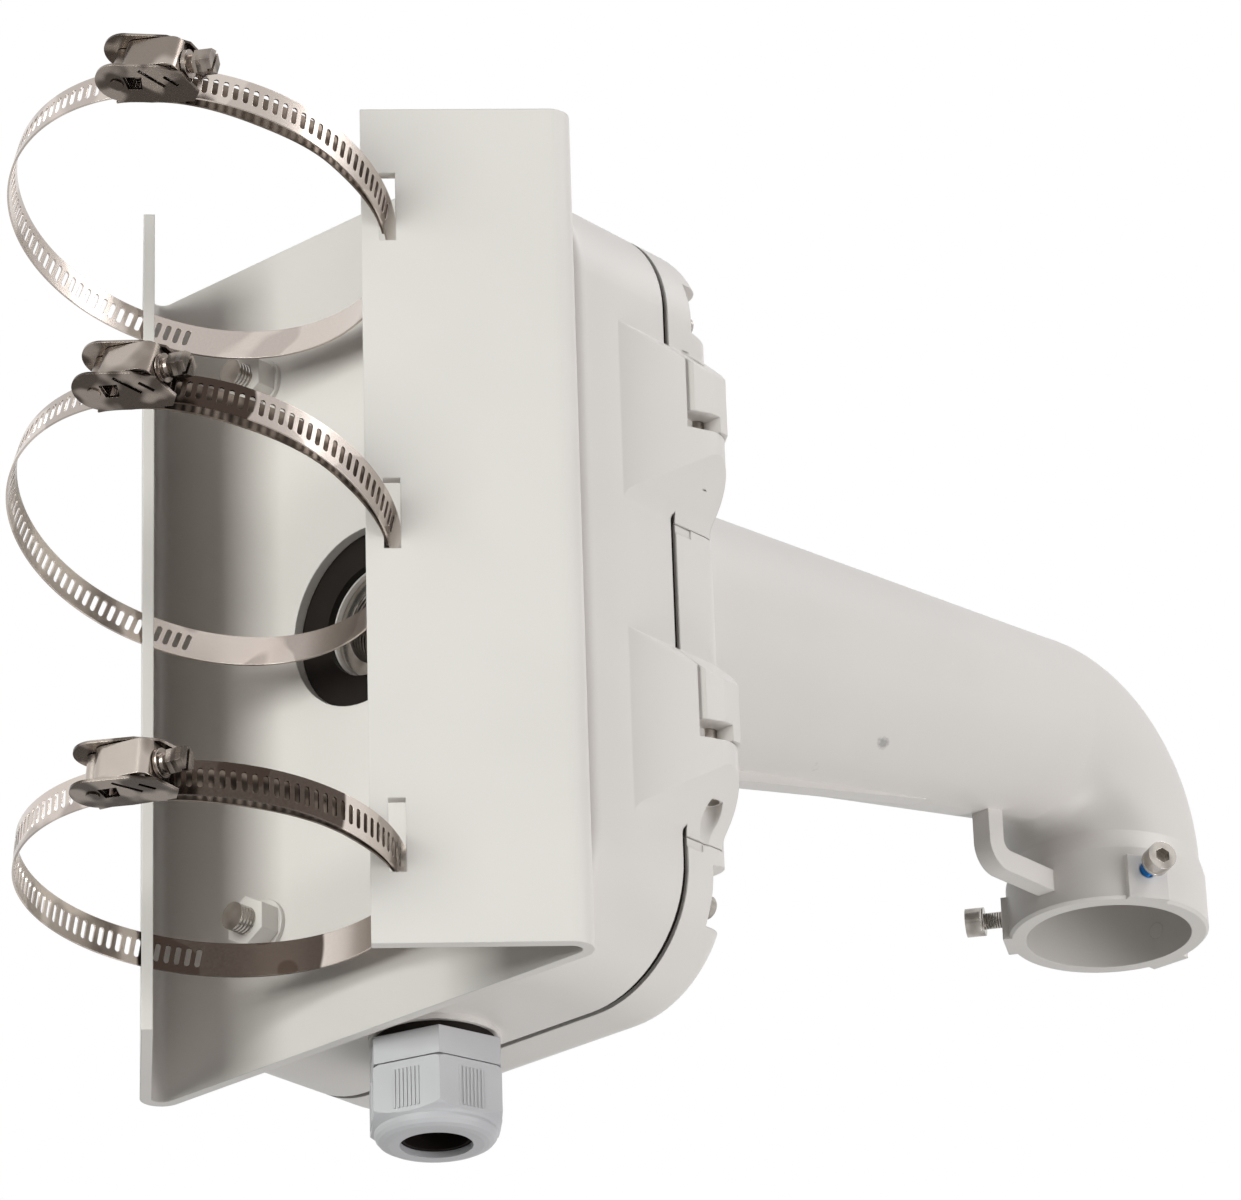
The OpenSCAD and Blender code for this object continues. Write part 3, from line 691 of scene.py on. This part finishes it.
@dataclass
class Studio:
    """Camera, floor, background and soft lights.

    Attributes:
        azimuth: The camera's place round the bracket, in degrees.
        elevation: Its height angle, in degrees.
        roll: Its turn about its own axis, in degrees.
        distance_mm: Its distance from the bracket's origin along the view.
        aim_mm: The origin's place in the view, right and up.
        focal_px: Focal length in pixels of the photograph.
        frame_px: Width of the photograph.
    """

    azimuth: float = -49.33
    elevation: float = -25.29
    roll: float = -1.94
    distance_mm: float = 2132.01
    aim_mm: tuple[float, float] = (-89.13, -4.04)
    focal_px: float = 6074.95
    frame_px: float = 1241.0
    lift_mm: float = 2.0
    sensor_mm: float = 36.0
    floor_mm: float = -2400.0

    def camera(self) -> None:
        """Places the camera at the photograph's viewing angle."""
        azimuth = math.radians(self.azimuth)
        elevation = math.radians(self.elevation)
        roll = math.radians(self.roll)
        back = Vector((math.sin(azimuth) * math.cos(elevation),
                       -math.cos(azimuth) * math.cos(elevation), math.sin(elevation)))
        level = Vector((math.cos(azimuth), math.sin(azimuth), 0.0))
        upright = back.cross(level)
        right = level * math.cos(roll) + upright * math.sin(roll)
        up = upright * math.cos(roll) - level * math.sin(roll)
        place = back * self.distance_mm - right * self.aim_mm[0] - up * self.aim_mm[1]
        place.z += self.lift_mm
        data = bpy.data.cameras.new("camera")
        data.sensor_width = self.sensor_mm
        data.lens = self.sensor_mm * self.focal_px / self.frame_px
        data.clip_end = 20.0
        camera = bpy.data.objects.new("camera", data)
        bpy.context.scene.collection.objects.link(camera)
        turn = Matrix((right, up, back)).transposed().to_4x4()
        camera.matrix_world = Matrix.Translation(place * MM) @ turn
        bpy.context.scene.camera = camera

    def floor(self) -> None:
        """Lays a plain pale floor well below the camera."""
        Bench.clear()
        bpy.ops.mesh.primitive_plane_add(size=40.0, location=(0.0, 0.0, self.floor_mm * MM))
        floor = bpy.context.object
        floor.name = "floor"
        graph = Graph("floor")
        tone = graph.blend(graph.noise(300.0), srgb(244, 244, 243), srgb(240, 240, 239))
        matt = graph.node("ShaderNodeBsdfDiffuse", {}, {"Color": tone}).out()
        pale = graph.node("ShaderNodeEmission", {}, {"Color": tone, "Strength": 1.0}).out()
        path = graph.node("ShaderNodeLightPath")
        seen: Signal = path.out("Is Camera Ray")
        for kind in ("Is Glossy Ray", "Is Transmission Ray"):
            seen = graph.node("ShaderNodeMath", {"operation": "MAXIMUM"}, {0: seen, 1: path.out(kind)}).out()
        mixed = graph.node("ShaderNodeMixShader", {}, {0: seen * 0.88, 1: matt, 2: pale}).out()
        graph.tree.links.new(mixed.socket, graph.output.inputs["Surface"])
        floor.data.materials.append(graph.material)

    def world(self) -> None:
        """Makes the background white and the ambient light soft."""
        world = bpy.data.worlds.new("studio")
        bpy.context.scene.world = world
        world.use_nodes = True
        nodes = world.node_tree.nodes
        links = world.node_tree.links
        nodes.clear()
        path = nodes.new("ShaderNodeLightPath")
        seen = nodes.new("ShaderNodeMath")
        seen.operation = "MAXIMUM"
        links.new(path.outputs["Is Camera Ray"], seen.inputs[0])
        links.new(path.outputs["Is Transmission Ray"], seen.inputs[1])
        shown = nodes.new("ShaderNodeMath")
        shown.operation = "MAXIMUM"
        links.new(seen.outputs[0], shown.inputs[0])
        links.new(path.outputs["Is Glossy Ray"], shown.inputs[1])
        soft = nodes.new("ShaderNodeBackground")
        soft.inputs["Color"].default_value = (0.97, 1.0, 0.98, 1.0)
        soft.inputs["Strength"].default_value = 0.1
        white = nodes.new("ShaderNodeBackground")
        white.inputs["Color"].default_value = (1.0, 1.0, 1.0, 1.0)
        white.inputs["Strength"].default_value = 1.0
        mix = nodes.new("ShaderNodeMixShader")
        links.new(shown.outputs[0], mix.inputs[0])
        links.new(soft.outputs[0], mix.inputs[1])
        links.new(white.outputs[0], mix.inputs[2])
        output = nodes.new("ShaderNodeOutputWorld")
        links.new(mix.outputs[0], output.inputs["Surface"])

    def lamp(self, name: str, place: Point, aim: Point, size: float, watts: float,
             colour: Point = (1.0, 1.0, 1.0)) -> None:
        """Adds one soft square lamp.

        Args:
            name: Its name.
            place: Where it hangs, in metres.
            aim: What it points at, in metres.
            size: Its side, in metres.
            watts: Its power.
            colour: Its colour.
        """
        data = bpy.data.lights.new(name, "AREA")
        data.size = size
        data.energy = watts
        data.color = colour
        lamp = bpy.data.objects.new(name, data)
        bpy.context.scene.collection.objects.link(lamp)
        direction = Vector(aim) - Vector(place)
        lamp.matrix_world = (Matrix.Translation(place)
                             @ direction.to_track_quat("-Z", "Y").to_matrix().to_4x4())

    def build(self) -> None:
        """Sets up the whole studio."""
        self.camera()
        self.floor()
        self.world()
        self.lamp("key", (-2.2, -0.1, 0.2), (0.0, 0.0, 0.0), 1.3, 47.0, (0.965, 1.0, 0.965))
        self.lamp("fill", (0.6, -2.5, -0.5), (0.15, 0.0, 0.0), 1.6, 29.0)
        self.lamp("top", (1.0, -1.2, 1.8), (0.15, 0.0, 0.0), 1.2, 23.0)
        self.lamp("low", (0.5, -0.7, -1.7), (0.2, 0.0, 0.0), 1.0, 11.0)
        bpy.context.scene.view_settings.view_transform = "Standard"


@dataclass
class Casting:
    """The coated plate, box and arm.

    Attributes:
        coated: Nodes with the plain coat.
    """

    coated: tuple[str, ...] = ("pole_plate", "box_body", "box_cover", "plate_nuts", "plate_washers")

    def dress(self, wardrobe: Wardrobe, nodes: dict[str, bpy.types.Object]) -> None:
        """Puts the coat on the castings and the plate.

        Args:
            wardrobe: The finishes.
            nodes: The frame's nodes.
        """
        for name in self.coated:
            wardrobe.dress(nodes[name], Finish.COAT)
        wardrobe.dress(nodes["arm"], Finish.ARM_COAT)


@dataclass
class Fittings:
    """Fasteners, seals and the gland."""

    plated: tuple[str, ...] = ("hub_locknut", "hinge_pins", "root_bolts",
                               "cover_screw_1", "cover_screw_2", "cover_screw_3", "cover_screw_4")
    threaded: tuple[str, ...] = ("plate_bolts", "cable_hub")
    lock_screws: tuple[str, ...] = ("lock_screw_1", "lock_screw_2", "lock_screw_3")
    lock_head_mm: float = 6.0
    rubber: tuple[str, ...] = ("rear_gasket", "cover_gasket", "root_seal", "gland_washer", "gland_seal")
    plastic: tuple[str, ...] = ("gland_body", "gland_locknut", "gland_nut")

    def dress(self, wardrobe: Wardrobe, nodes: dict[str, bpy.types.Object], axes: dict[str, Point]) -> None:
        """Puts metal, rubber and plastic on the small pieces.

        Args:
            wardrobe: The finishes.
            nodes: The frame's nodes.
            axes: Each motion's axis.
        """
        for names, finish in ((self.plated, Finish.PLATED), (self.rubber, Finish.RUBBER),
                              (self.threaded, Finish.THREAD),
                              (self.plastic, Finish.PLASTIC), (("ground_screw",), Finish.BRASS)):
            for name in names:
                wardrobe.dress(nodes[name], finish)
        for name in self.lock_screws[:2]:
            wardrobe.dress(nodes[name], self.lock_steel(name, axes[f"{name}_travel"], nodes))
        wardrobe.dress(nodes[self.lock_screws[2]], Finish.COAT)

    def lock_steel(self, name: str, axis: Point, screws: dict[str, bpy.types.Object]) -> ThreadedSteel:
        """Gives one lock screw's steel, with its thread along its own axis.

        Args:
            name: The screw's node.
            axis: Its axis, of length 1.
            screws: The frame's nodes, with the screws among them.

        Returns:
            The finish.
        """
        ring = sum((self._middle(screw) for screw in self.lock_screws), Vector()) / len(self.lock_screws)
        outward = Vector(axis)
        if outward.dot(self._middle(name) - ring) < 0.0:
            outward.negate()
        steel = Finish.THREAD.value
        top = max(outward.dot(vertex.co) for vertex in screws[name].data.vertices) / MM - self.lock_head_mm
        sealed = (top - 9.0, top - 2.2) if name == "lock_screw_2" else None
        return ThreadedSteel(f"{name}_steel", steel.colour, steel.gloss, steel.stain_and_dark_reflection, steel.stain_and_reflection_share,
                             blotch_mm=steel.blotch_mm, sharp=steel.sharp, axis=tuple(outward), pitch_mm=1.0, depth_mm=0.3, sealed_mm=sealed,
                             top_mm=top)

    @staticmethod
    def _middle(name: str) -> Vector:
        """Gives the middle of a node's box."""
        low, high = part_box(name)
        return (Vector(low) + Vector(high)) / 2.0


@dataclass(frozen=True)
class Loop:
    """Place and size of one band loop.

    Attributes:
        radius_mm: Radius of the band's middle.
        centre_mm: Middle of the loop.
        tilt: Its turn about Y, in degrees.
        housing_at: The housing's place on it, in degrees.
    """

    radius_mm: float
    centre_mm: Point
    tilt: float
    housing_at: float

    def spot(self, angle: float, lift_mm: float, across_mm: float) -> Vector:
        """Gives a point near the band.

        Args:
            angle: Its place round the loop, in degrees.
            lift_mm: Its height over the band's middle.
            across_mm: Its place across the band.

        Returns:
            The point in the shared frame, in metres.
        """
        turn = math.radians(angle)
        reach = self.radius_mm + lift_mm
        flat = Vector((reach * math.cos(turn), reach * math.sin(turn), across_mm))
        upright = Matrix.Rotation(math.radians(self.tilt), 3, "Y") @ flat
        return (upright + Vector(self.centre_mm)) * MM


LOOPS = (
    Loop(67.896, (-81.349, 0.0, 128.036), 17.2, 210.0),
    Loop(67.699, (-80.585, 0.0, 8.873), 19.3, 203.0),
    Loop(65.478, (-77.469, 0.0, -119.685), 6.5, 202.0),
)


@dataclass
class BandClamp:
    """One worm-drive band clamp.

    Attributes:
        number: Its place from the top, from 1.
        loop: Place and size of its band.
    """

    number: int
    loop: Loop
    width_mm: float = 12.7
    thick_mm: float = 0.7
    pitch_mm: float = 3.6
    slot_half: tuple[float, float] = (0.95, 3.6)
    slot_lean: float = 5.0
    # tones: the band's steel colour, the dark colour of its painted reflections and stains, and their share.
    tones: tuple[tuple, tuple, float] = (srgb(214, 204, 196), srgb(140, 126, 116), 0.5)
    # patches: noise values for the sharp dark blotches that paint reflections.
    patches: tuple[float, float] = (0.5, 0.54)
    # shades: places round the loop, in degrees, with reaches in mm, of painted shade patches.
    shades: tuple[tuple[float, float], ...] = ()

    def dress(self, wardrobe: Wardrobe, nodes: dict[str, bpy.types.Object], axes: dict[str, Point]) -> None:
        """Makes the band and puts stainless steel on the clamp.

        Args:
            wardrobe: The finishes.
            nodes: The frame's nodes.
            axes: Each motion's axis.
        """
        band = self.band()
        tone, stain_and_dark_reflection, stain_and_reflection_share = self.tones
        # Painted shade patches at given places round the loop, over sharp dark blotches that paint dark
        # reflections.
        shade_spots = tuple((tuple(self.loop.spot(angle, 0.0, 0.0) / MM), reach) for angle, reach in self.shades)
        wardrobe.dress(band, RolledSteel(f"stainless_band_{self.number}", tone, 0.13, stain_and_dark_reflection, stain_and_reflection_share,
                                        blotch_mm=26.0, sharp=self.patches, shade_spots=shade_spots))
        # Painted shade: faces of the inner layer, under the outer strip, get the darker inner steel.
        band.data.materials.append(wardrobe.get(Finish.INNER_PAINTED_SHADE))
        for face in band.data.polygons:
            if self._height(face.center) < -0.6:
                face.material_index = 1
        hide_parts(f"clamp_{self.number}_band")
        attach(band, "root")
        # The housing, pivot and worm wear the darker steel with painted dark reflections.
        for kind in ("housing", "pivot"):
            wardrobe.dress(nodes[f"clamp_{self.number}_{kind}"], Finish.FORMED_PAINTED_DARK)
        # The saddle wears the lighter steel with a painted highlight.
        wardrobe.dress(nodes[f"clamp_{self.number}_saddle"], Finish.SADDLE_PAINTED_HIGHLIGHT)
        steel = Finish.FORMED_PAINTED_DARK.value
        worm = ThreadedSteel(f"worm_{self.number}", steel.colour, steel.gloss, steel.stain_and_dark_reflection, steel.stain_and_reflection_share,
                             axis=axes[f"clamp_{self.number}_worm_turn"], pitch_mm=3.6, depth_mm=0.5)
        wardrobe.dress(nodes[f"clamp_{self.number}_worm"], worm)

    def _height(self, point: Vector) -> float:
        """Gives a point's height over the band's middle, in mm."""
        flat = Matrix.Rotation(math.radians(-self.loop.tilt), 3, "Y") @ (point / MM - Vector(self.loop.centre_mm))
        return math.hypot(flat.x, flat.y) - self.loop.radius_mm

    def cell(self) -> bpy.types.Object:
        """Models one pitch of the strip, with its slanted slot.

        Returns:
            The flat cell, along X, with its middle at the origin.
        """
        Bench.clear()
        bpy.ops.mesh.primitive_circle_add(vertices=16, radius=0.004, fill_type="NGON")
        cell = bpy.context.object
        bpy.ops.object.mode_set(mode="EDIT")
        bpy.ops.mesh.select_all(action="SELECT")
        bpy.ops.mesh.inset(thickness=0.001)
        bpy.ops.mesh.delete(type="ONLY_FACE")
        bpy.ops.object.mode_set(mode="OBJECT")
        rings = self._rims()
        for vertex in cell.data.vertices:
            flat = vertex.co.copy()
            ring = 0 if flat.length > 0.0035 else 1
            place = round(math.atan2(flat.x, flat.y) / (math.tau / 16)) % 16
            vertex.co = Vector((rings[ring][place][0] * MM, rings[ring][place][1] * MM, 0.0))
        return cell

    def _rims(self) -> tuple[list[tuple[float, float]], list[tuple[float, float]]]:
        """Lists the cell's border and the slot's rim, clockwise from the top middle."""
        side, end = self.pitch_mm / 2, self.width_mm / 2
        wide, tall = self.slot_half
        steps = (1.0, 0.66, 0.33, 0.0, -0.33, -0.66, -1.0)
        border = ([(0.0, end)] + [(side, end * step) for step in steps]
                  + [(0.0, -end)] + [(-side, -end * step) for step in steps])
        straight = tall - wide
        rim = [(0.0, tall)]
        rim += [(wide * 0.71, straight + wide * 0.71)]
        rim += [(wide, straight * step) for step in (1.0, 0.5, 0.0, -0.5, -1.0)]
        rim += [(wide * 0.71, -straight - wide * 0.71), (0.0, -tall)]
        rim += [(-x, -y) for x, y in rim[1:8]]
        lean = math.radians(self.slot_lean)
        slanted = [(x * math.cos(lean) - y * math.sin(lean), x * math.sin(lean) + y * math.cos(lean))
                   for x, y in rim]
        return border, slanted

    def wind(self, strip: bpy.types.Object, start: float, lift: Sequence[tuple[float, float]]) -> None:
        """Winds a flat strip round the loop.

        Args:
            strip: The strip, along X from 0.
            start: Where it starts, in degrees.
            lift: Pairs of a place in degrees and the strip's height there in mm, in rising order.
        """
        degrees = math.degrees(1.0 / (self.loop.radius_mm * MM))
        for vertex in strip.data.vertices:
            angle = start + vertex.co.x * degrees
            vertex.co = self.loop.spot(angle, self._read(lift, angle), vertex.co.y / MM)

    @staticmethod
    def _read(lift: Sequence[tuple[float, float]], angle: float) -> float:
        """Reads a smooth height from a list of places and heights."""
        if angle <= lift[0][0]:
            return lift[0][1]
        for (low, under), (high, over) in zip(lift, lift[1:]):
            if angle <= high:
                share = (angle - low) / (high - low)
                share = share * share * (3.0 - 2.0 * share)
                return under + (over - under) * share
        return lift[-1][1]

    def plain(self, degrees: float, steps: int, width_mm: float) -> bpy.types.Object:
        """Models a plain flat strip.

        Args:
            degrees: The share of the loop that it covers.
            steps: Its divisions along that.
            width_mm: Its width.

        Returns:
            The strip, along X from 0.
        """
        Bench.clear()
        bpy.ops.mesh.primitive_grid_add(x_subdivisions=steps, y_subdivisions=1, size=1.0)
        strip = bpy.context.object
        length = math.radians(degrees) * self.loop.radius_mm * MM
        strip.data.transform(Matrix.Diagonal((length, width_mm * MM, 1.0, 1.0))
                             @ Matrix.Translation((0.5, 0.0, 0.0)))
        return strip

    def band(self) -> bpy.types.Object:
        """Models the band: perforated strip, plain part and inner layer.

        Returns:
            The finished band.
        """
        first, last = 47.0, 300.0
        step = math.degrees(self.pitch_mm / self.loop.radius_mm)
        count = int((last - first) / step)
        strip = self.cell()
        Bench.apply(strip, "ARRAY", count=count, use_relative_offset=False, use_constant_offset=True,
                    constant_offset_displace=(self.pitch_mm * MM, 0.0, 0.0), use_merge_vertices=True,
                    merge_threshold=0.00002)
        strip.data.transform(Matrix.Translation((self.pitch_mm * MM / 2, 0.0, 0.0)))
        end = first + count * step
        self.wind(strip, first, ((0.0, 0.0),))
        plain = self.plain(first + 360.0 - end, 44, self.width_mm)
        self.wind(plain, end, ((0.0, 0.0),))
        housing = self.loop.housing_at
        inner = self.plain(302.0 - housing + 12.0, 48, self.width_mm - 0.6)
        self.wind(inner, housing - 12.0, ((housing - 12.0, -2.6), (housing, -3.6), (housing + 32.0, -5.2),
                                          (270.0, -3.0), (302.0, -0.9)))
        band = Bench.join(strip, plain, inner)
        Bench.apply(band, "SOLIDIFY", thickness=self.thick_mm * MM, offset=0.0)
        Bench.tidy(band)
        Bench.smooth(band)
        band.name = band.data.name = f"clamp_{self.number}_strip"
        return band


def main() -> None:
    """Builds the studio and dresses every piece."""
    logging.basicConfig(level=logging.INFO, format="%(message)s")
    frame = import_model()
    Studio().build()
    wardrobe = Wardrobe()
    nodes = frame["nodes"]
    Casting().dress(wardrobe, nodes)
    axes = {joint["name"]: tuple(joint["axis"]) for joint in frame["joints"]}
    Fittings().dress(wardrobe, nodes, axes)
    # Per clamp: painted shade patches round the loop, and the share of dark blotches that paint reflections,
    # higher on the lower clamps.
    shade_and_reflection_marks = (((), 0.22), (((222.0, 20.0),), 0.3), (((232.0, 40.0), (38.0, 34.0)), 0.35))
    for number, (loop, (shades, stain_and_reflection_share)) in enumerate(zip(LOOPS, shade_and_reflection_marks), start=1):
        tones = (srgb(214, 203, 195), srgb(68, 57, 50), stain_and_reflection_share)
        BandClamp(number, loop, tones=tones, shades=shades).dress(wardrobe, nodes, axes)


if __name__ == "__main__":
    main()
